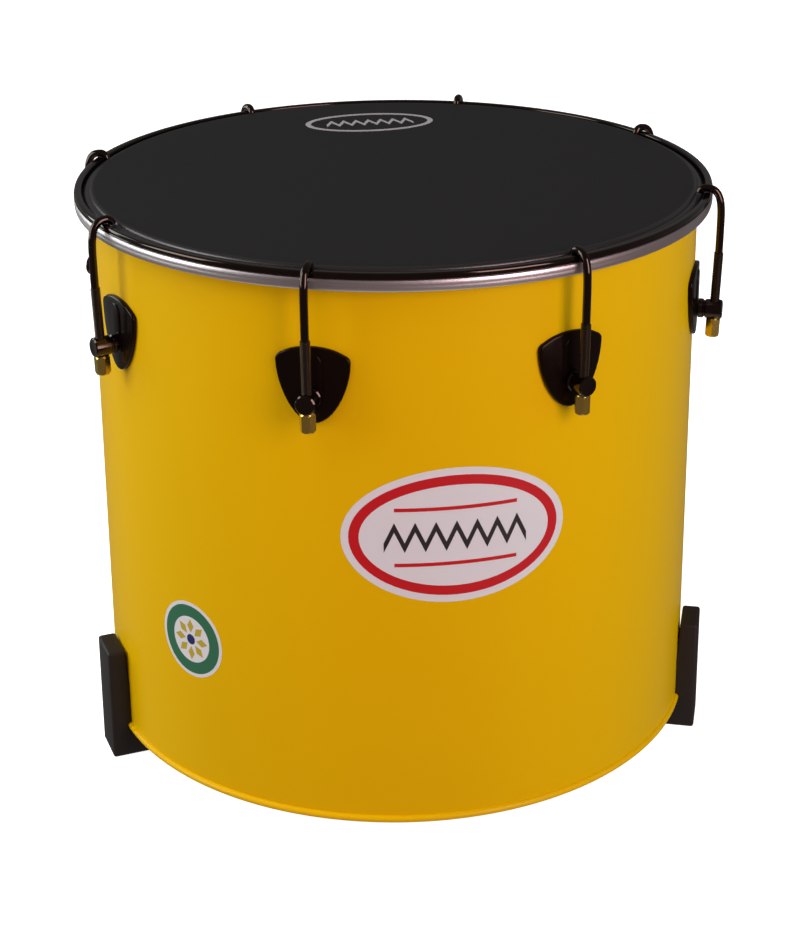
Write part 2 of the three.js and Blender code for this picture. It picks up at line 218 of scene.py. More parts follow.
def ranged(
    tree: Tree, value: Socket, start: float = 0, end: float = 1, low: float = 0, high: float = 1
) -> Socket:
    """The output with a value stretched from start and end to low and high, and held there."""
    sockets = {"Value": value, "From Min": start, "From Max": end, "To Min": low, "To Max": high}
    return add_node(tree, "ShaderNodeMapRange", sockets).outputs[0]


@dataclass(frozen=True)
class Grain:
    """A fine relief on a finish, pebbled with cells and cloudy without.

    Attributes:
        size: Width of one grain, in millimetres.
        depth: Height of the relief, in millimetres.
        stretch: Scale of the pattern along X, Y and Z.
    """

    size: float
    depth: float
    stretch: tuple[float, float, float] = (1.0, 1.0, 1.0)
    cells: bool = False


@dataclass(frozen=True)
class Finish:
    """What a surface is made of and how it takes light.

    Attributes:
        shade: The colour that it drifts to in patches.
        patch: Width of those patches, in millimetres.
        rough_spread: How far the roughness wanders.
        specular: Level of the reflection on what is not a metal; a half is the ordinary one.
        gloss_tint: Colour of that reflection.
        polish: Radii between which the surface changes, in millimetres, and the roughness and
            the reflection's level outside them.
    """

    name: str
    color: str
    shade: str
    patch: float
    roughness: float
    rough_spread: float = 0.05
    metallic: float = 0.0
    ior: float = 1.5
    specular: float = 0.5
    gloss_tint: str = "#ffffff"
    grain: Grain | None = None
    polish: tuple[float, float, float, float] | None = None

    @cache
    def material(self) -> bpy.types.Material:
        """Make the material, once for all the pieces that have it.

        Returns:
            The material.
        """
        material = bpy.data.materials.new(self.name)
        material.use_nodes = True
        tree = material.node_tree
        shader = tree.nodes["Principled BSDF"]
        shader.inputs["Metallic"].default_value = self.metallic
        if not self.metallic:
            shader.inputs["IOR"].default_value = self.ior
            shader.inputs["Specular IOR Level"].default_value = self.specular
            shader.inputs["Specular Tint"].default_value = linear(self.gloss_tint)
        place = add_node(tree, "ShaderNodeTexCoord").outputs["Object"]
        sockets = {"Vector": place, "Scale": 1 / (self.patch * MM), "Detail": PATCH_DETAIL}
        cloud = add_node(tree, "ShaderNodeTexNoise", sockets).outputs["Fac"]
        tint = mixed(tree, cloud, linear(self.color), linear(self.shade))
        tree.links.new(tint, shader.inputs["Base Color"])
        least = max(0.0, self.roughness - self.rough_spread)
        most = min(1.0, self.roughness + self.rough_spread)
        worn = ranged(tree, cloud, low=least, high=most)
        if self.polish:
            smooth, bright = self.polish[2:]
            worn = self.towards_rim(tree, place, worn, smooth)
            gloss = self.towards_rim(tree, place, self.specular, bright)
            tree.links.new(gloss, shader.inputs["Specular IOR Level"])
        tree.links.new(worn, shader.inputs["Roughness"])
        if self.grain:
            self.add_grain(tree, place, shader)
        return material

    def towards_rim(
        self, tree: Tree, place: Socket, within: Socket | float, beyond: float
    ) -> Socket:
        """Make a value change over towards the rim.

        Args:
            tree: The material's node tree.
            place: The output that gives the position on the object.
            within: The value inside the inner radius.
            beyond: The value outside the outer radius.

        Returns:
            The output with the value everywhere.
        """
        inner, outer = self.polish[:2]
        kind = "ShaderNodeVectorMath"
        flat = add_node(tree, kind, {0: place, 1: (1, 1, 0)}, operation="MULTIPLY")
        radius = add_node(tree, kind, {0: flat.outputs[0]}, operation="LENGTH")
        share = ranged(tree, radius.outputs["Value"], inner * MM, outer * MM)
        return add_node(tree, "ShaderNodeMix", {0: share, 2: within, 3: beyond}).outputs[0]

    def add_grain(self, tree: Tree, place: Socket, shader: bpy.types.Node) -> None:
        """Add the fine relief.

        Args:
            tree: The material's node tree.
            place: The output that gives the position on the object.
            shader: The surface shader.
        """
        grain = self.grain
        spread = add_node(tree, "ShaderNodeMapping", {"Vector": place, "Scale": grain.stretch})
        kind = "ShaderNodeTexVoronoi" if grain.cells else "ShaderNodeTexNoise"
        sockets = {"Vector": spread.outputs[0], "Scale": 1 / (grain.size * MM)}
        relief = add_node(tree, kind, sockets).outputs[0]
        sockets = {"Height": relief, "Strength": 1.0, "Distance": grain.depth * MM}
        bump = add_node(tree, "ShaderNodeBump", sockets)
        tree.links.new(bump.outputs[0], shader.inputs["Normal"])


# Sheet steel, primed and sprayed with gloss enamel: saturated and smooth, with a faint orange peel.
SHELL_PAINT = Finish(
    "sprayed_enamel_on_steel", "#e0b200", "#dcaf00", 160, 0.3, 0.03,
    specular=0.12, grain=Grain(4.0, 0.012),
)
# Coated napa: nearly black, matte, finely pebbled, and glossy where it is pulled over the bead.
SKIN_NAPA = Finish(
    "coated_napa_skin", "#1a1a1a", "#1d1d1d", 60, 0.6, 0.05,
    specular=0.27, gloss_tint="#fff3f4", grain=Grain(1.1, 0.05, cells=True),
    polish=(249.0, 252.5, 0.33, 1.0),
)
# Extruded aluminium, spun against a pad: fine lines run round it, so highlights spread up and down.
CHANNEL_ALUMINIUM = Finish(
    "brushed_aluminium", "#dad2d4", "#c9c0c2", 25, 0.38, 0.03,
    metallic=1.0, grain=Grain(40.0, 0.006, stretch=(1.0, 1.0, 70.0)),
)
# Steel rod and hoop stock, dipped in black enamel: mirror-like with a warm brown cast.
BLACK_ENAMEL = Finish(
    "black_stove_enamel", "#050302", "#080504", 30, 0.09, 0.03,
    specular=0.8, gloss_tint="#e8cabb", grain=Grain(6.0, 0.006),
)
# Cast zinc under black lacquer: a little softer than the enamel, rounded at its edges.
PLATE_LACQUER = Finish(
    "black_lacquered_casting", "#0c0705", "#110906", 18, 0.2, 0.05,
    specular=0.22, gloss_tint="#e8c8b8", grain=Grain(2.4, 0.02),
)
# Rolled thread, blackened and oiled: brown-grey where the crests have worn.
THREAD_STEEL = Finish(
    "blackened_rolled_steel", "#564a41", "#3c332b", 4, 0.24, 0.06, metallic=0.85,
)
# Free-cutting brass from hexagon bar: bright faces with turning marks on the chamfers.
NUT_BRASS = Finish(
    "turned_brass", "#f0d56c", "#d4ba5a", 7, 0.26, 0.05,
    metallic=1.0, grain=Grain(0.5, 0.006, stretch=(1.0, 1.0, 6.0)),
)
# Zinc-plated steel: a cool grey with a satin bloom.
ZINC_PLATE = Finish(
    "bright_zinc_plate", "#b9bcc0", "#a4a8ad", 5, 0.36, 0.08, metallic=1.0,
)
# Moulded rubber: brown-black and matte, with a faint bloom.
FOOT_RUBBER = Finish(
    "moulded_rubber", "#19120f", "#201a17", 22, 0.62, 0.06,
    ior=1.52, specular=0.4, grain=Grain(0.9, 0.03),
)
# Printed vinyl: smooth, opaque colour under a thin gloss.
VINYL_WHITE = Finish("printed_vinyl_white", "#d9dadd", "#d5d6d9", 60, 0.4, 0.02)
VINYL_RED = Finish("printed_vinyl_red", "#c00d18", "#b80c16", 60, 0.4, 0.02)
VINYL_DARK = Finish("printed_vinyl_dark", "#241d20", "#2a2226", 60, 0.4, 0.02)
VINYL_GREEN = Finish("printed_vinyl_green", "#2f6e4f", "#2a6548", 60, 0.4, 0.02)
VINYL_YELLOW = Finish("printed_vinyl_yellow", "#b9a52c", "#b19d28", 60, 0.4, 0.02)
VINYL_BLUE = Finish("printed_vinyl_blue", "#1d2c62", "#1a2859", 60, 0.4, 0.02)
# Screen ink on the skin: flat and slightly grey, as the grain shows through it.
INK_GREY = Finish("screen_ink_grey", "#a5a2a6", "#9a979b", 20, 0.6, 0.03)


# Shapes.


def arc(centre: Point, radius: float, start: float, end: float, steps: int) -> Profile:
    """Points on an arc of a profile, from a start to an end angle in degrees."""
    turns = [math.radians(start + (end - start) * i / steps) for i in range(steps + 1)]
    return [(centre[0] + radius * math.cos(t), centre[1] + radius * math.sin(t)) for t in turns]


def spun(
    profile: Profile, segments: int, closed: bool = True, turns: int = 1, pitch: float = 0
) -> Mesh:
    """Spin a profile about Z into a skin.

    Args:
        profile: Points of radius and height.
        segments: Number of facets in one turn.
        closed: False for a profile that ends on the axis, and for a helix.
        turns: Number of turns, more than one for a helix.
        pitch: The helix's climb in one turn.

    Returns:
        The spun mesh.
    """
    bm = bmesh.new()
    verts = [bm.verts.new((r * MM, 0, z * MM)) for r, z in profile]
    pairs = list(zip(verts, verts[1:]))
    if closed:
        pairs.append((verts[-1], verts[0]))
    edges = [bm.edges.new(pair) for pair in pairs]
    bmesh.ops.spin(
        bm, geom=verts + edges, cent=(0, 0, 0), axis=(0, 0, 1), dvec=(0, 0, pitch * MM / segments),
        angle=TURN * turns, steps=segments * turns, use_merge=not pitch,
    )
    bmesh.ops.remove_doubles(bm, verts=bm.verts, dist=MERGE)
    bmesh.ops.recalc_face_normals(bm, faces=bm.faces)
    return bm


def moved(bm: Mesh, matrix: Matrix) -> Mesh:
    """Transform a whole mesh and hand it back."""
    bmesh.ops.transform(bm, matrix=matrix, verts=bm.verts)
    return bm


def raised(bm: Mesh, height: float) -> Mesh:
    """Lift a whole mesh by a height and hand it back."""
    return moved(bm, Matrix.Translation((0, 0, height * MM)))


def turned(bm: Mesh, angle: float, axis: str = "Z") -> Mesh:
    """Turn a whole mesh about an axis by an angle in radians and hand it back."""
    return moved(bm, Matrix.Rotation(angle, 4, axis))


def rod(radius: float, low: float, high: float, segments: int) -> Mesh:
    """A plain cylinder about Z, between two heights."""
    return spun([(0, low), (radius, low), (radius, high), (0, high)], segments, closed=False)


def joined(first: Mesh, second: Mesh) -> Mesh:
    """Put two meshes into one, as separate closed skins.

    Args:
        first: The mesh that gets the other.
        second: The other mesh, which is freed.

    Returns:
        The first mesh.
    """
    mesh = bpy.data.meshes.new("part")
    second.to_mesh(mesh)
    second.free()
    first.from_mesh(mesh)
    bpy.data.meshes.remove(mesh)
    return first


def linked(name: str, data: bpy.types.ID) -> bpy.types.Object:
    """Put an object in the scene.

    Args:
        name: The object's name.
        data: Its mesh, curve, light or camera.

    Returns:
        The new object.
    """
    obj = bpy.data.objects.new(name, data)
    bpy.context.scene.collection.objects.link(obj)
    return obj


def object_of(name: str, bm: Mesh) -> bpy.types.Object:
    """Make an object from a mesh under construction.

    Args:
        name: The name of the object and of its mesh.
        bm: The mesh, which is freed.

    Returns:
        The new object.
    """
    mesh = bpy.data.meshes.new(name)
    bm.to_mesh(mesh)
    bm.free()
    return linked(name, mesh)


def evaluated(obj: bpy.types.Object) -> Mesh:
    """Take the mesh that an object comes to, with its modifiers applied.

    Args:
        obj: A mesh or a curve object.

    Returns:
        A new mesh with no doubled points.
    """
    bpy.context.view_layer.update()
    done = obj.evaluated_get(bpy.context.evaluated_depsgraph_get())
    bm = bmesh.new()
    bm.from_mesh(done.to_mesh())
    done.to_mesh_clear()
    bmesh.ops.remove_doubles(bm, verts=bm.verts, dist=MERGE)
    return bm


def carved(bm: Mesh, cuts: Sequence[tuple[str, Mesh]]) -> Mesh:
    """Cut a mesh with others, one after another.

    Args:
        bm: The mesh that is cut.
        cuts: Pairs of the operation, DIFFERENCE or INTERSECT, and the tool's mesh.

    Returns:
        The result.
    """
    base = object_of("carving", bm)
    tools = []
    for operation, tool in cuts:
        tools.append(object_of("carving_tool", tool))
        modifier = base.modifiers.new(operation, "BOOLEAN")
        modifier.operation = operation
        modifier.object = tools[-1]
        modifier.solver = "EXACT"
    result = evaluated(base)
    for obj in [base, *tools]:
        mesh = obj.data
        bpy.data.objects.remove(obj)
        bpy.data.meshes.remove(mesh)
    return result


def thickened(bm: Mesh, along: Sequence[float]) -> Mesh:
    """Extrude a flat mesh into a closed body.

    Args:
        bm: The mesh.
        along: How far it goes along X, Y and Z.

    Returns:
        The same mesh, closed.
    """
    made = bmesh.ops.extrude_face_region(bm, geom=bm.faces[:])["geom"]
    far = [v for v in made if isinstance(v, bmesh.types.BMVert)]
    bmesh.ops.translate(bm, vec=[reach * MM for reach in along], verts=far)
    bmesh.ops.recalc_face_normals(bm, faces=bm.faces)
    return bm


def slab(outline: Profile, thickness: float, slice_width: float, bevel: float = 0) -> Mesh:
    """A flat plate in the YZ plane with its outer side towards +X, sliced so that it can be bent.

    Args:
        outline: Points of Y and Z, anticlockwise as seen from +X.
        thickness: The plate's thickness along X.
        slice_width: Distance between the slices along Y, or zero for none.
        bevel: Width of the rounding on the outer rim.

    Returns:
        The plate's mesh, from X of zero to the thickness.
    """
    bm = bmesh.new()
    bm.faces.new([bm.verts.new((0, y * MM, z * MM)) for y, z in outline])
    thickened(bm, (thickness, 0, 0))
    if bevel:
        middle = thickness * MM / 2
        bmesh.ops.bevel(
            bm, geom=[e for e in bm.edges if all(v.co.x > middle for v in e.verts)],
            offset=bevel * MM, offset_type="OFFSET", affect="EDGES", segments=RIM_STEPS,
            profile=ROUND, material=-1, clamp_overlap=True,
        )
    if slice_width:
        ys = [y for y, _ in outline]
        count = max(2, round((max(ys) - min(ys)) / slice_width))
        for i in range(1, count):
            y = min(ys) + (max(ys) - min(ys)) * i / count
            bmesh.ops.bisect_plane(
                bm, geom=bm.verts[:] + bm.edges[:] + bm.faces[:], dist=MERGE,
                plane_co=(0, y * MM, 0), plane_no=(0, 1, 0),
            )
    bmesh.ops.triangulate(bm, faces=[f for f in bm.faces if len(f.verts) > 4])
    return bm


def bent(bm: Mesh, radius: float) -> Mesh:
    """Bend a slab round the drum's axis, so that its inner side lies at a radius.

    Args:
        bm: A slab whose X is its thickness.
        radius: Radius of the inner side.

    Returns:
        The same mesh, bent about Z with its middle on +X.
    """
    for vert in bm.verts:
        reach = radius * MM + vert.co.x
        angle = vert.co.y / (radius * MM)
        vert.co.x = reach * math.cos(angle)
        vert.co.y = reach * math.sin(angle)
    return bm


def bezier_line(a: Point, b: Point, c: Point, d: Point, steps: int) -> Profile:
    """Sample a cubic curve.

    Args:
        a: Its first point.
        b: The handle that leaves it.
        c: The handle that comes into the last point.
        d: Its last point.
        steps: Number of stretches.

    Returns:
        The points in order, both ends included.
    """
    points = []
    for t in (i / steps for i in range(steps + 1)):
        weights = ((1 - t) ** 3, 3 * t * (1 - t) ** 2, 3 * t**2 * (1 - t), t**3)
        points.append(tuple(sum(w * p[k] for w, p in zip(weights, (a, b, c, d))) for k in (0, 1)))
    return points


def show(
    name: str, bm: Mesh, finish: Finish, replaces: Sequence[str] = (),
    body: str = Body.DRUM.value,
) -> None:
    """Turn a finished mesh into a piece of the drum.

    Args:
        name: The piece's name.
        bm: Its mesh, in place, which is freed.
        finish: Its finish.
        replaces: The nodes of the frame that it stands for.
        body: The body that it moves with.
    """
    obj = object_of(name, bm)
    obj.data.materials.append(finish.material())
    obj.data.shade_smooth()
    obj.data.set_sharp_from_angle(angle=SMOOTH_ANGLE)
    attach(obj, body)
    if replaces:
        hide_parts(*replaces)
    log.info("%s: %d faces on %s", name, len(obj.data.polygons), body)


# Pieces of the drum.


@dataclass
class Shell:
    """The painted steel cylinder with a rolled bead at both ends."""

    segments: int = 256
    bead_steps: int = 14

    def profile(self) -> Profile:
        """The wall's section.

        Returns:
            The inner wall, and the two beads on its outer line.
        """
        reach = math.degrees(math.acos(DRUM.sheet / DRUM.bead))
        low = (DRUM.wall, DRUM.bottom + DRUM.bead)
        high = (DRUM.wall, DRUM.top - DRUM.bead)
        return [
            *arc(low, DRUM.bead, 180 - reach, 360 + 90, self.bead_steps),
            *arc(high, DRUM.bead, -90, 180 + reach, self.bead_steps),
        ]

    def build(self) -> None:
        """Make and dress the shell."""
        bm = spun(self.profile(), self.segments)
        show("shell_wall", bm, SHELL_PAINT, ["shell"])


@dataclass
class Head:
    """The black skin over the top bead, with its hem in the flesh hoop."""

    hem_height: float = 3.8
    wrap_angle: float = 85.0
    thinning: float = 3.0
    roll_start: float = 16.0
    shoulder_reach: float = -0.5
    shoulder_round: float = 3.0
    shoulder_start: float = 16.0
    shoulder_drop: float = 0.3
    rings: tuple[float, ...] = (0, 90, 180, 240)
    steps: int = 8
    flat_steps: int = 10
    segments: int = 256

    def rolled_edge(self, crown: Point, wrap: float) -> Profile:
        """The skin's outer line: round the bead, up a narrow shoulder, then in to the flat.

        Args:
            crown: The bead's centre.
            wrap: Distance of the skirt's outer side from it.

        Returns:
            The line's points, from the skirt up and in.
        """
        tight = DRUM.bead + DRUM.seat + DRUM.skin / self.thinning
        round_bead = []
        for i in range(self.steps + 1):
            turn = math.radians(self.wrap_angle * i / self.steps)
            reach = wrap + (tight - wrap) * i / self.steps
            across, up = reach * math.cos(turn), reach * math.sin(turn)
            round_bead.append((crown[0] + across, crown[1] + up))
        bend = self.shoulder_round
        peak = DRUM.skin_top - self.shoulder_drop
        centre = (DRUM.wall + self.shoulder_reach - bend, peak - bend)
        edge = (centre[0], peak)
        flat = (DRUM.wall - self.roll_start, DRUM.skin_top)
        third = (edge[0] - flat[0]) / 3
        handles = ((edge[0] - third, peak), (flat[0] + third, flat[1]))
        rise = bezier_line(edge, *handles, flat, self.flat_steps)
        return [*round_bead, *arc(centre, bend, self.shoulder_start, 90, self.steps), *rise[1:]]

    def build(self) -> None:
        """Make and dress the skin."""
        inner = DRUM.bead + DRUM.seat
        crown = (DRUM.wall, DRUM.top - DRUM.bead)
        hem = DRUM.skirt + DRUM.hem_width
        low = DRUM.flesh_bottom + DRUM.channel + DRUM.seat
        high = low + self.hem_height
        profile = [
            *((r, crown[1] + inner) for r in self.rings), *arc(crown, inner, 90, 0, self.steps),
            (DRUM.skirt, low), (hem, low), (hem, high), (DRUM.skirt + DRUM.skin, high),
            *self.rolled_edge(crown, inner + DRUM.skin),
            *((r, DRUM.skin_top) for r in self.rings[-2::-1]),
        ]
        bm = spun(profile, self.segments, closed=False)
        show("head_napa", bm, SKIN_NAPA, ["head_skin"])


@dataclass
class Hoops:
    """The aluminium flesh hoop and the black counter hoop on its rim."""

    flesh_wall: float = 3.2
    face: tuple[Point, ...] = (
        (1.3, 0.0), (0.85, 0.2), (0.5, 0.7), (0.28, 1.5), (0.14, 2.4), (0.07, 3.2), (0.07, 3.8),
        (0.11, 4.4), (0.12, 4.8), (0.08, 5.3), (0.02, 5.8), (0.0, 6.3), (0.06, 7.1), (0.22, 7.9),
        (0.5, 8.6), (0.85, 9.05), (1.3, 9.3),
    )
    counter_gap: float = 1.1
    counter_round: float = 1.9
    lip_height: float = 1.1
    lip_step: float = 0.5
    edge: float = 0.3
    fillet: float = 0.05
    steps: int = 8
    segments: int = 256

    def flesh(self, inside: float, outside: float) -> Profile:
        """The flesh hoop's section, a channel that is open at the top.

        Args:
            inside: Radius of its outer wall's inner side.
            outside: Radius of its outer wall's outer side.

        Returns:
            The section's points.
        """
        bottom = DRUM.flesh_bottom
        floor = bottom + DRUM.channel
        wall = DRUM.skirt - DRUM.seat
        lip = DRUM.top - 2 * DRUM.bead - DRUM.seat
        return [
            (wall - DRUM.channel, bottom),
            *((outside - inset, bottom + rise) for inset, rise in self.face),
            (inside, DRUM.top - DRUM.flesh_drop), (inside, floor), (wall, floor), (wall, lip),
            (wall - DRUM.channel, lip),
        ]

    def counter(self, outside: float) -> Profile:
        """The counter hoop's section, a bar with a thin lip below.

        Args:
            outside: Radius of the lip.

        Returns:
            The section's points.
        """
        inner = DRUM.skirt + DRUM.skin + self.counter_gap
        low = DRUM.top - DRUM.flesh_drop + DRUM.seat
        lip = low + self.lip_height
        body = outside - self.lip_step
        bend = self.counter_round
        shoulder = DRUM.counter_top - bend
        return [
            (inner, low), (outside - self.edge, low), (outside, low + self.edge),
            (outside, lip - self.edge), (outside - self.edge, lip), (body + self.fillet, lip),
            (body, lip + self.fillet), *arc((body - bend, shoulder), bend, 0, 90, self.steps),
            *arc((inner + bend, shoulder), bend, 90, 180, self.steps),
        ]

    def build(self) -> None:
        """Make and dress both hoops."""
        inside = DRUM.skirt + DRUM.hem_width + DRUM.seat
        outside = inside + self.flesh_wall
        flesh = spun(self.flesh(inside, outside), self.segments)
        show("flesh_hoop_channel", flesh, CHANNEL_ALUMINIUM, ["flesh_hoop"])
        counter = spun(self.counter(outside), self.segments)
        show("counter_hoop_ring", counter, BLACK_ENAMEL, ["counter_hoop"])


@dataclass
class LugPlate:
    """The curved shield between a post and the shell, with a raised tongue.

    Its shares are control points of curves, in half widths and in heights from the top.
    """

    width: float = 57.5
    height: float = 61.0
    rise: float = 38.5
    rounding: float = 1.5
    tip_shares: tuple[Point, ...] = ((0, 1), (0.52, 1), (0.98, 0.56), (1, 0.21))
    corner_shares: tuple[Point, ...] = ((1, 0.21), (1.007, 0.157), (0.95, 0.12), (0.83, 0.1))
    bow_shares: tuple[Point, ...] = ((0.83, 0.1), (0.4, -0.03), (-0.4, -0.03), (-0.83, 0.1))
    tongue_width: float = 15.0
    tongue_inset: float = 5.0
    tongue_round: float = 0.9
    slice_width: float = 2.5
    curve_steps: int = 12
    end_steps: int = 14

    def shield(self) -> Profile:
        """The plate's outline, from the tip round a bowed top and back.

        Returns:
            The outline's points, anticlockwise.
        """
        half = self.width / 2
        top = DRUM.post_height + self.rise

        def placed(shares: tuple[Point, ...], sign: int) -> list[Point]:
            """Control points in place, on the right side for a sign of one."""
            return [(half * wide * sign, top - self.height * down) for wide, down in shares]

        curves = [
            placed(self.tip_shares, 1), placed(self.corner_shares, 1), placed(self.bow_shares, 1),
            placed(self.corner_shares, -1)[::-1], placed(self.tip_shares, -1)[::-1],
        ]
        return [point for curve in curves for point in bezier_line(*curve, self.curve_steps)[:-1]]

    def tongue(self) -> Profile:
        """The raised tongue's outline, a bar with round ends.

        Returns:
            The outline's points.
        """
        half = self.tongue_width / 2
        top = DRUM.post_height + self.rise - self.tongue_inset - half
        return [
            *arc((0, top), half, 0, 180, self.end_steps),
            *arc((0, DRUM.post_height), half, 180, 360, self.end_steps),
        ]

    def template(self) -> Mesh:
        """Make the plate on +X.

        Returns:
            Its mesh.
        """
        base = DRUM.wall + DRUM.seat
        core = DRUM.plate / 2
        shield = slab(self.shield(), DRUM.plate, self.slice_width, self.rounding)
        tongue = slab(self.tongue(), core + DRUM.tongue, self.slice_width, self.tongue_round)
        return joined(bent(shield, base), bent(tongue, base + core))


@dataclass
class LugPost:
    """The turned post that a rod crosses, with its shank through plate and shell."""

    diameter: float = 16.0
    reach: float = 24.6
    neck: float = 13.6
    neck_length: float = 2.2
    base_length: float = 4.0
    base_edge: float = 0.5
    edge: float = 0.3
    chamfer: float = 1.0
    dish_rim: float = 1.2
    dish_depth: float = 0.25
    shank: float = 8.0
    spot_depth: float = 1.0
    spot_width: float = 13.4
    cutter: float = 20.0
    segments: int = 48
    bore_segments: int = 32

    def template(self) -> Mesh:
        """Make the post on +X, with its bore and spot face.

        Returns:
            Its mesh.
        """
        radius = self.diameter / 2
        edge = self.edge
        wall = DRUM.wall - DRUM.sheet + DRUM.seat
        base = DRUM.wall + DRUM.seat + DRUM.plate + DRUM.tongue + DRUM.seat
        groove = base + self.base_length
        barrel = groove + self.neck_length
        middle = (groove + barrel) / 2
        end = DRUM.wall + self.reach
        profile = [
            (0, wall), (self.shank / 2, wall), (self.shank / 2, base),
            (radius - self.base_edge, base), (radius, base + self.base_edge),
            (radius, groove - edge), (radius - edge, groove), (self.neck / 2, middle - edge),
            (self.neck / 2, middle + edge), (radius - edge, barrel), (radius, barrel + edge),
            (radius, end - self.chamfer), (radius - self.chamfer, end),
            (radius - self.chamfer - self.dish_rim, end - self.dish_depth),
            (0, end - self.dish_depth),
        ]
        post = turned(spun(profile, self.segments, closed=False), math.pi / 2, "Y")
        raised(post, DRUM.post_height)
        bore = rod(DRUM.bore / 2, -self.cutter, self.cutter, self.bore_segments)
        face = self.spot_depth - radius
        spot = rod(self.spot_width / 2, -self.cutter, face, self.bore_segments)
        return carved(post, [("DIFFERENCE", moved(tool, DRUM.on_lean())) for tool in (bore, spot)])


@dataclass
class TensionHook:
    """The rod with a crook over the hoop and a rolled thread below.

    Its shares say where the thread's crest starts and ends, in pitches.
    """

    diameter: float = 6.35
    thread: float = 7.9
    root: float = 6.5
    pitch: float = 1.411
    crest_shares: Point = (0.4, 0.58)
    thread_rise: float = 49.0
    thread_overlap: float = 4.0
    rod_end: float = -20.3
    foot_handle: float = 8.0
    upright_reach: float = 20.2
    upright_height: float = 470.0
    upright_handle: float = 17.0
    crest_reach: float = 7.4
    crest_gap: float = 0.44
    crest_handle: float = 10.0
    tip_radius: float = 5.3
    tip_angle: float = 78.0
    thread_steps: int = 24
    curve_steps: int = 14
    round_steps: int = 6

    def knots(self) -> list[tuple[Vector, Vector, Vector]]:
        """The line of the rod: up beside the hoop, close over it, and down inside it.

        Returns:
            Each knot with the handles before and after it.
        """
        lean = Vector((math.sin(DRUM.lean), 0, math.cos(DRUM.lean)))
        inwards = Vector((-1, 0, 0))
        foot = Vector((DRUM.wall + DRUM.rod_reach, 0, DRUM.post_height))
        start = foot + lean * (self.thread_rise - self.thread_overlap)
        upright = Vector((DRUM.wall + self.upright_reach, 0, self.upright_height))
        up = Vector((0, 0, self.upright_handle))
        crest_height = DRUM.counter_top + self.crest_gap + self.diameter / 2
        crest = Vector((DRUM.wall + self.crest_reach, 0, crest_height))
        tip = math.radians(self.tip_angle)
        end = crest + Vector((-math.sin(tip), 0, math.cos(tip) - 1)) * self.tip_radius
        down = Vector((-math.cos(tip), 0, -math.sin(tip)))
        handle = 4 / 3 * math.tan(tip / 4) * self.tip_radius
        return [
            (start, start - lean, start + lean * self.foot_handle),
            (upright, upright - up / 2, upright + up),
            (crest, crest - inwards * self.crest_handle, crest + inwards * handle),
            (end, end - down * handle, end + down),
        ]

    def crook(self) -> Mesh:
        """Make the plain rod with its bend.

        Returns:
            Its mesh.
        """
        curve = bpy.data.curves.new("crook", "CURVE")
        curve.dimensions = "3D"
        curve.resolution_u = self.curve_steps
        curve.bevel_depth = self.diameter / 2 * MM
        curve.bevel_resolution = self.round_steps
        curve.use_fill_caps = True
        spline = curve.splines.new("BEZIER")
        knots = self.knots()
        spline.bezier_points.add(len(knots) - 1)
        for point, (place, left, right) in zip(spline.bezier_points, knots):
            point.handle_left_type = point.handle_right_type = "FREE"
            point.co = place * MM
            point.handle_left = left * MM
            point.handle_right = right * MM
        obj = linked("crook", curve)
        bm = evaluated(obj)
        bpy.data.objects.remove(obj)
        bpy.data.curves.remove(curve)
        bmesh.ops.recalc_face_normals(bm, faces=bm.faces)
        return bm

    def rolled_thread(self) -> Mesh:
        """Make the thread: a V profile spun up a helix, cut square and capped at both ends.

        Returns:
            Its mesh.
        """
        turns = math.ceil((self.thread_rise - self.rod_end) / self.pitch) + 2
        low = self.rod_end - self.pitch
        rise, fall = self.crest_shares
        root, crest = self.root / 2, self.thread / 2
        section = [(root, 0), (crest, rise), (crest, fall), (root, 1)]
        profile = [(radius, low + share * self.pitch) for radius, share in section]
        bm = spun(profile, self.thread_steps, closed=False, turns=turns, pitch=self.pitch)
        bmesh.ops.remove_doubles(bm, verts=bm.verts, dist=HELIX_MERGE)
        for height, sign in ((self.rod_end, -1), (self.thread_rise, 1)):
            bmesh.ops.bisect_plane(
                bm, geom=bm.verts[:] + bm.edges[:] + bm.faces[:], dist=MERGE,
                plane_co=(0, 0, height * MM), plane_no=(0, 0, sign), clear_outer=True,
            )
        bmesh.ops.holes_fill(bm, edges=[e for e in bm.edges if e.is_boundary])
        bmesh.ops.recalc_face_normals(bm, faces=bm.faces)
        return moved(bm, DRUM.on_lean())


@dataclass
class TensionNut:
    """The tall brass hexagon under a post."""

    sides: int = 6
    flats: float = 11.1
    height: float = 16.0
    top: float = -7.3
    chamfer: float = 1.3
    chamfer_length: float = 1.9
    skim: float = 0.05
    cutter: float = 2.0
    segments: int = 48
    bore_segments: int = 32

    def template(self) -> Mesh:
        """Make the nut on its leaning axis on +X.

        Returns:
            Its mesh.
        """
        half_side = math.pi / self.sides
        corner = self.flats / 2 / math.cos(half_side)
        low = self.top - self.height
        hexagon = turned(rod(corner, low, self.top, self.sides), half_side)
        profile = [
            (0, low), (corner - self.chamfer, low),
            (corner + self.skim, low + self.chamfer_length),
            (corner + self.skim, self.top - self.chamfer_length),
            (corner - self.chamfer, self.top), (0, self.top),
        ]
        cone = spun(profile, self.segments, closed=False)
        hole = rod(DRUM.bore / 2, low - self.cutter, self.top + self.cutter, self.bore_segments)
        nut = carved(hexagon, [("INTERSECT", cone), ("DIFFERENCE", hole)])
        return moved(nut, DRUM.on_lean())


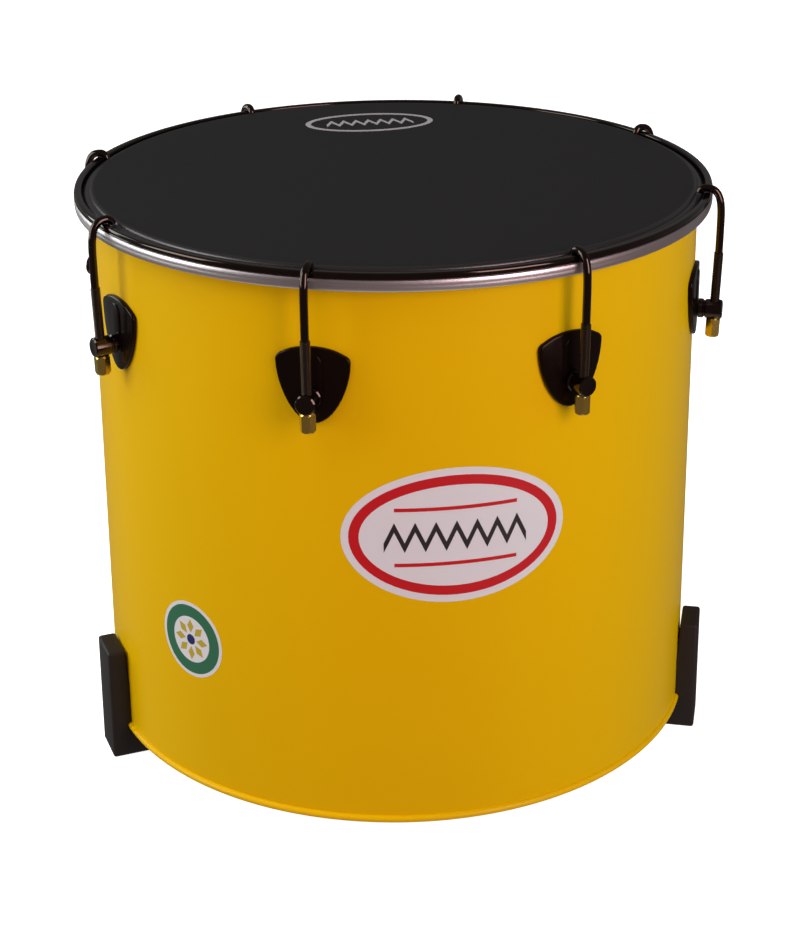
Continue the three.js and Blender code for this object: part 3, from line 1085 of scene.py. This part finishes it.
@dataclass
class InnerScrew:
    """A screw from inside the shell, with a washer and a cross-slotted head.

    Attributes:
        crown: Points of the domed head, as insets from its rim and depths from its top.
        wall_flats: Flats of the solid's wall, which the washer lies on.
    """

    diameter: float
    grip: float
    height: float
    washer: float = 15.0
    washer_thickness: float = 1.2
    washer_edge: float = 0.2
    head: float = 9.0
    head_height: float = 3.0
    crown: tuple[Point, ...] = ((2.0, 0.12), (0.9, 0.6), (0.2, 1.4), (0, 2.2))
    slot: tuple[float, float, float] = (3.0, 5.0, 1.1)
    wall_flats: int = 64
    segments: int = 32

    def template(self) -> Mesh:
        """Make the screw on +X.

        Returns:
            Its mesh.
        """
        rim = self.washer / 2
        inside = DRUM.wall - DRUM.sheet
        seat = inside - rim * math.tan(math.pi / self.wall_flats) - DRUM.seat
        head = seat - self.washer_thickness
        end = head - self.head_height
        radius = self.head / 2
        profile = [
            (0, end), *((radius - inset, end + depth) for inset, depth in self.crown),
            (radius, head), (rim - self.washer_edge, head), (rim, head + self.washer_edge),
            (rim, seat), (self.diameter / 2, seat), (self.diameter / 2, inside + self.grip),
            (0, inside + self.grip),
        ]
        screw = turned(spun(profile, self.segments, closed=False), math.pi / 2, "Y")
        cuts = []
        for angle in (0, math.pi / 2):
            slot = bmesh.new()
            bmesh.ops.create_cube(slot, size=1.0)
            bmesh.ops.scale(slot, vec=Vector(self.slot) * MM, verts=slot.verts)
            turned(slot, angle, "X")
            moved(slot, Matrix.Translation((end * MM, 0, 0)))
            cuts.append(("DIFFERENCE", slot))
        return raised(carved(screw, cuts), self.height)


@dataclass
class Lugs:
    """The eight lugs: plate, post, hook, nut and inner screw."""

    plate: LugPlate = field(default_factory=LugPlate)
    post: LugPost = field(default_factory=LugPost)
    hook: TensionHook = field(default_factory=TensionHook)
    nut: TensionNut = field(default_factory=TensionNut)
    screw_diameter: float = 5.0
    screw_grip: float = 6.5

    def build(self) -> None:
        """Make each piece once and set a copy of it at every lug."""
        screw = InnerScrew(self.screw_diameter, self.screw_grip, DRUM.post_height)
        sets = [
            ("shield", self.plate.template, PLATE_LACQUER, Body.DRUM, "lug_plate_{}", Slot.LACQUER),
            ("post", self.post.template, BLACK_ENAMEL, Body.DRUM, "lug_post_{}", Slot.ENAMEL),
            ("screw", screw.template, ZINC_PLATE, Body.DRUM, "lug_screw_{}", Slot.ZINC),
            ("rod", self.hook.crook, BLACK_ENAMEL, Body.HOOK, "tension_hook_{}", Slot.ENAMEL),
            ("thread", self.hook.rolled_thread, THREAD_STEEL, Body.HOOK, "", Slot.ENAMEL),
            ("nut", self.nut.template, NUT_BRASS, Body.NUT, "tension_nut_{}", Slot.BRASS),
        ]
        for name, make, finish, body, node, slot in sets:
            template = make()
            for number in range(1, DRUM.lugs + 1):
                bm = turned(template.copy(), DRUM.lug_azimuth(number))
                nodes = [node.format(number)] if node else []
                show(f"lug_{number}_{name}", bm, finish, nodes, body.name_for(number))
            template.free()


@dataclass
class Feet:
    """The three rubber feet with their screws."""

    azimuths: tuple[tuple[str, float], ...] = (("left", 192.1), ("right", 339.9), ("rear", 86.0))
    reach: float = 16.48
    width: float = 38.0
    rise: float = 75.0
    toe: float = 26.0
    toe_rise: float = 3.7
    relief: float = 1.2
    relief_drop: float = 28.0
    ledge: float = 5.0
    edge: float = 2.4
    edge_steps: int = 4
    cutter_radius: float = 200.0
    cutter_rise: float = 9.0
    cutter_segments: int = 192
    screw_diameter: float = 4.4
    screw_grip: float = 8.0
    screw_rises: tuple[tuple[str, float], ...] = (("lower", 18.0), ("upper", 40.0))

    def block(self) -> Mesh:
        """Make a foot on +X: a rounded block, hollowed for the wall and the bead.

        Returns:
            Its mesh.
        """
        outside = DRUM.wall + self.reach
        top = DRUM.bottom + self.rise
        toe = DRUM.wall - self.toe
        outline = [
            (toe, 0), (outside, 0), (outside, top), (DRUM.wall + self.relief, top),
            (DRUM.wall, top - self.relief_drop), (DRUM.wall - self.ledge, top - self.relief_drop),
            (toe, DRUM.bottom + self.toe_rise),
        ]
        bm = bmesh.new()
        side = -self.width / 2 * MM
        bm.faces.new([bm.verts.new((x * MM, side, z * MM)) for x, z in outline])
        thickened(bm, (0, self.width, 0))
        bmesh.ops.bevel(
            bm, geom=bm.edges[:], offset=self.edge * MM, offset_type="OFFSET", affect="EDGES",
            segments=self.edge_steps, profile=ROUND, material=-1,
        )
        seat = DRUM.wall + DRUM.seat
        low = DRUM.bottom - DRUM.seat
        high = DRUM.bottom + 2 * DRUM.bead + DRUM.seat
        above = top + self.cutter_rise
        cutter = [
            (self.cutter_radius, low), (DRUM.skirt, low), (DRUM.skirt, high), (seat, high),
            (seat, above), (self.cutter_radius, above),
        ]
        return carved(bm, [("DIFFERENCE", spun(cutter, self.cutter_segments))])

    def build(self) -> None:
        """Make and dress the feet and their screws."""
        block = self.block()
        for name, azimuth in self.azimuths:
            turn = math.radians(azimuth)
            foot = turned(block.copy(), turn)
            show(f"foot_{name}_block", foot, FOOT_RUBBER, [f"foot_{name}"])
            for place, rise in self.screw_rises:
                screw = InnerScrew(self.screw_diameter, self.screw_grip, DRUM.bottom + rise)
                show(
                    f"foot_{name}_fixing_{place}", turned(screw.template(), turn), ZINC_PLATE,
                    [f"foot_{name}_screw_{place}"],
                )
        block.free()


@dataclass
class Stickers:
    """Two plain patterned stickers on the shell and a print on the skin.

    Attributes:
        layer_share: How much of its thickness each layer adds to the next one's radius.
        badge_place: Azimuth in degrees and height of the large sticker's centre.
        seal_place: The same of the small one's.
    """

    layer: float = 0.12
    layer_share: float = 0.5
    lift: float = 0.02
    print_lift: float = 0.01
    slice_width: float = 3.0
    badge_place: Point = (271.7, 276.0)
    seal_place: Point = (220.5, 158.0)
    petals: int = 8
    print_place: Point = (5.0, 176.0)
    print_size: Point = (118.0, 66.0)
    print_stroke: float = 5.0
    zigzag_stroke: float = 8.0
    zigzag_teeth: int = 7

    def ellipse(self, wide: float, high: float, steps: int = 72) -> Profile:
        """An ellipse about the origin, of a width and a height."""
        turns = [TURN * i / steps for i in range(steps)]
        return [(wide / 2 * math.cos(turn), high / 2 * math.sin(turn)) for turn in turns]

    def zigzag(self, wide: float, high: float) -> Profile:
        """A zigzag band as one outline.

        Args:
            wide: Its length.
            high: Height of its teeth.

        Returns:
            The outline's points.
        """
        count = self.zigzag_teeth * 2
        half = self.zigzag_stroke / 2
        ridge = [
            (-wide / 2 + wide * i / count, high / 2 if i % 2 else -high / 2)
            for i in range(count + 1)
        ]
        return [(y, z - half) for y, z in ridge] + [(y, z + half) for y, z in reversed(ridge)]

    def bar(self, wide: float, high: float, middle: float) -> Profile:
        """A plain bar of a width and a height, about a middle height."""
        low, top = middle - high / 2, middle + high / 2
        return [(-wide / 2, low), (wide / 2, low), (wide / 2, top), (-wide / 2, top)]

    def petal(self, inner: float, outer: float, width: float, angle: float) -> Profile:
        """A petal between two radii.

        Args:
            inner: The radius of its inner tip.
            outer: The radius of its outer tip.
            width: Its width.
            angle: Its direction, in radians.

        Returns:
            The outline's points.
        """
        middle = (inner + outer) / 2
        shape = [(inner, 0), (middle, -width / 2), (outer, 0), (middle, width / 2)]
        c, s = math.cos(angle), math.sin(angle)
        return [(c * x - s * y, s * x + c * y) for x, y in shape]

    def on_wall(
        self, name: str, outline: Profile, finish: Finish, level: int, place: Point
    ) -> None:
        """Lay one printed shape on the shell.

        Args:
            name: The piece's name.
            outline: Its outline about the sticker's centre.
            finish: Its colour.
            level: Its layer above the paint, from zero.
            place: The sticker's centre, as azimuth in degrees and height above the floor.
        """
        azimuth, height = place
        bm = raised(slab(outline, self.layer, self.slice_width), height)
        bent(bm, DRUM.wall + self.lift + self.layer * self.layer_share * level)
        show(name, turned(bm, math.radians(azimuth)), finish)

    def on_skin(self, name: str, bm: Mesh) -> None:
        """Lay a flat mesh, made about the print's centre, on the skin."""
        place = Vector((*self.print_place, DRUM.skin_top + self.print_lift)) * MM
        show(name, moved(bm, Matrix.Translation(place)), INK_GREY)

    def ring(self) -> Mesh:
        """Make the print's oval ring.

        Returns:
            Its mesh.
        """
        bm = bmesh.new()
        rims = []
        for inset in (0, 2 * self.print_stroke):
            rim = self.ellipse(*(size - inset for size in self.print_size))
            verts = [bm.verts.new((x * MM, y * MM, 0)) for x, y in rim]
            rims += [bm.edges.new(pair) for pair in zip(verts, verts[1:] + verts[:1])]
        bmesh.ops.bridge_loops(bm, edges=rims)
        return thickened(bm, (0, 0, self.layer))

    def build(self) -> None:
        """Make every sticker."""
        badge = [
            ("badge_ground", self.ellipse(178, 112), VINYL_WHITE, 0),
            ("badge_field", self.ellipse(166, 100), VINYL_RED, 1),
            ("badge_centre", self.ellipse(150, 84), VINYL_WHITE, 2),
            ("badge_zigzag", self.zigzag(112, 17), VINYL_DARK, 3),
            ("badge_line_top", self.bar(96, 3, 23), VINYL_RED, 3),
            ("badge_line_bottom", self.bar(96, 3, -23), VINYL_RED, 3),
        ]
        petals = [self.petal(6, 18, 7, TURN * i / self.petals) for i in range(self.petals)]
        seal = [
            ("seal_ground", self.ellipse(66, 66), VINYL_WHITE, 0),
            ("seal_ring", self.ellipse(60, 60), VINYL_GREEN, 1),
            ("seal_centre", self.ellipse(40, 40), VINYL_WHITE, 2),
            *((f"seal_petal_{i}", petal, VINYL_YELLOW, 3) for i, petal in enumerate(petals, 1)),
            ("seal_dot", self.ellipse(9, 9, 24), VINYL_BLUE, 3),
        ]
        for place, layers in ((self.badge_place, badge), (self.seal_place, seal)):
            for name, outline, finish, level in layers:
                self.on_wall(name, outline, finish, level, place)
        self.on_skin("print_ring", self.ring())
        zigzag = slab(self.zigzag(80, 14), self.layer, 0)
        # Lays the slab's YZ plane down as the XY plane.
        moved(zigzag, Matrix(((0, 1, 0, 0), (0, 0, 1, 0), (1, 0, 0, 0), (0, 0, 0, 1))))
        bmesh.ops.recalc_face_normals(zigzag, faces=zigzag.faces)
        self.on_skin("print_zigzag", zigzag)


# Studio.


@dataclass(frozen=True)
class Lamp:
    """A rectangular soft light round the drum, in metres, degrees and watts.

    Attributes:
        azimuth: Its direction from the drum.
        distance: Its distance from the drum's axis.
        height: Height of its centre.
        size: Its width and height.
        reflected: False for a lamp behind a large diffuser, which no gloss picks up.
        drum_middle: Height that an overhead light is turned to.
    """

    name: str
    azimuth: float
    distance: float
    height: float
    size: Point
    power: float
    color: str = "#ffffff"
    reflected: bool = True
    drum_middle: float = 0.25

    def build(self) -> None:
        """Hang the light and turn it to the drum, level unless it hangs overhead."""
        light = bpy.data.lights.new(self.name, "AREA")
        light.shape = "RECTANGLE"
        light.size, light.size_y = self.size
        light.energy = self.power
        light.color = linear(self.color)[:3]
        obj = linked(self.name, light)
        turn = math.radians(self.azimuth)
        across = Vector((math.cos(turn), math.sin(turn), 0)) * self.distance
        obj.location = across + Vector((0, 0, self.height))
        above = self.height > self.distance
        target = Vector((0, 0, self.drum_middle if above else self.height))
        aim = target - obj.location
        obj.rotation_euler = aim.to_track_quat("-Z", "Y").to_euler()
        obj.visible_glossy = self.reflected


@dataclass
class Studio:
    """The camera, the floor, the lights and the colour of the air.

    Attributes:
        back_span: Where the air turns from front to back colour, along Y of the direction.
        floor_span: Where it turns to the floor's colour, along Z of the direction.
        mirrored_share: How much of the air above the floor a reflection shows.
    """

    camera_place: tuple[float, float, float] = (-250.8, -1639.2, 955.7)
    heading: float = -8.863
    pitch: float = 19.275
    roll: float = -0.451
    lens: float = 79.54
    sensor: float = 36.0
    shift_y: float = -0.1728
    floor_size: float = 30.0
    floor_color: str = "#f4f4f4"
    floor_roughness: float = 0.9
    floor_glow: float = 0.94
    front_air: str = "#84726f"
    back_air: str = "#8f8f8f"
    floor_air: str = "#c4c6c0"
    white: str = "#ffffff"
    back_span: Point = (-0.3, 0.7)
    floor_span: Point = (-0.65, -0.85)
    mirrored_share: float = 0.5
    lamps: tuple[Lamp, ...] = (
        Lamp("left_softbox", 184, 2.3, 1.2, (1.1, 1.9), 32, "#faffff"),
        Lamp("key_softbox", 300, 2.5, 1.2, (1.1, 1.9), 47, "#ffe4e7"),
        Lamp("fill_softbox", 232, 2.8, 1.0, (1.2, 2.0), 5.5, "#ffc6ce", reflected=False),
        Lamp("right_softbox", 340, 2.6, 1.0, (1.2, 2.0), 10.7, "#6efff8", reflected=False),
        Lamp("back_left_softbox", 145, 2.6, 1.0, (1.0, 2.0), 20, "#f2fffc"),
        Lamp("back_right_softbox", 25, 2.6, 1.0, (1.0, 2.0), 1.2, "#e4ffff", reflected=False),
        Lamp("overhead_softbox", 190, 1.3, 2.8, (2.2, 2.2), 33, "#ffffff", reflected=False),
    )

    def add_camera(self) -> None:
        """Set the camera where the photograph was taken from."""
        data = bpy.data.cameras.new("camera")
        data.sensor_fit = "AUTO"
        data.sensor_width = self.sensor
        data.lens = self.lens
        data.shift_y = self.shift_y
        camera = linked("camera", data)
        angles = ((self.heading, "Z"), (90 - self.pitch, "X"), (self.roll, "Z"))
        place = Matrix.Translation(Vector(self.camera_place) * MM)
        for angle, axis in angles:
            place = place @ Matrix.Rotation(math.radians(angle), 4, axis)
        camera.matrix_world = place
        bpy.context.scene.camera = camera

    def add_floor(self) -> None:
        """Lay a plain pale floor."""
        bm = bmesh.new()
        bmesh.ops.create_grid(bm, x_segments=1, y_segments=1, size=self.floor_size / 2)
        floor = object_of("floor", bm)
        material = bpy.data.materials.new("pale_floor")
        material.use_nodes = True
        looks = {
            "Base Color": linear(self.floor_color), "Roughness": self.floor_roughness,
            "Specular IOR Level": 0.0, "Emission Color": linear(self.white),
            "Emission Strength": self.floor_glow,
        }
        for name, value in looks.items():
            material.node_tree.nodes["Principled BSDF"].inputs[name].default_value = value
        floor.data.materials.append(material)
        floor.visible_diffuse = False
        floor.visible_glossy = False
        floor.visible_shadow = False

    def add_air(self) -> None:
        """Fill the surroundings with a soft even light, dimmer in reflections than in the open."""
        world = bpy.data.worlds.new("studio")
        world.use_nodes = True
        tree = world.node_tree
        way = add_node(tree, "ShaderNodeTexCoord").outputs["Generated"]
        axes = add_node(tree, "ShaderNodeSeparateXYZ", {0: way})
        behind = ranged(tree, axes.outputs["Y"], *self.back_span)
        around = mixed(tree, behind, linear(self.front_air), linear(self.back_air))
        below = ranged(tree, axes.outputs["Z"], *self.floor_span)
        path = add_node(tree, "ShaderNodeLightPath")
        shade = ranged(tree, path.outputs["Is Glossy Ray"], low=1.0, high=self.mirrored_share)
        kind = "ShaderNodeVectorMath"
        shaded = add_node(tree, kind, {0: around, 1: shade}, operation="MULTIPLY")
        air = mixed(tree, below, shaded.outputs[0], linear(self.floor_air))
        shown = mixed(tree, path.outputs["Is Camera Ray"], air, linear(self.white))
        tree.links.new(shown, tree.nodes["Background"].inputs["Color"])
        bpy.context.scene.world = world
        bpy.context.scene.view_settings.view_transform = "Standard"

    def build(self) -> None:
        """Set up the whole studio."""
        self.add_camera()
        self.add_floor()
        self.add_air()
        for lamp in self.lamps:
            lamp.build()


def main() -> None:
    """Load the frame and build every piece."""
    logging.basicConfig(level=logging.INFO, format="%(name)s: %(message)s")
    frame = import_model()
    log.info("frame of %d nodes", len(frame["nodes"]))
    Studio().build()
    for assembly in (Shell(), Head(), Hoops(), Lugs(), Feet(), Stickers()):
        assembly.build()


if __name__ == "__main__":
    main()
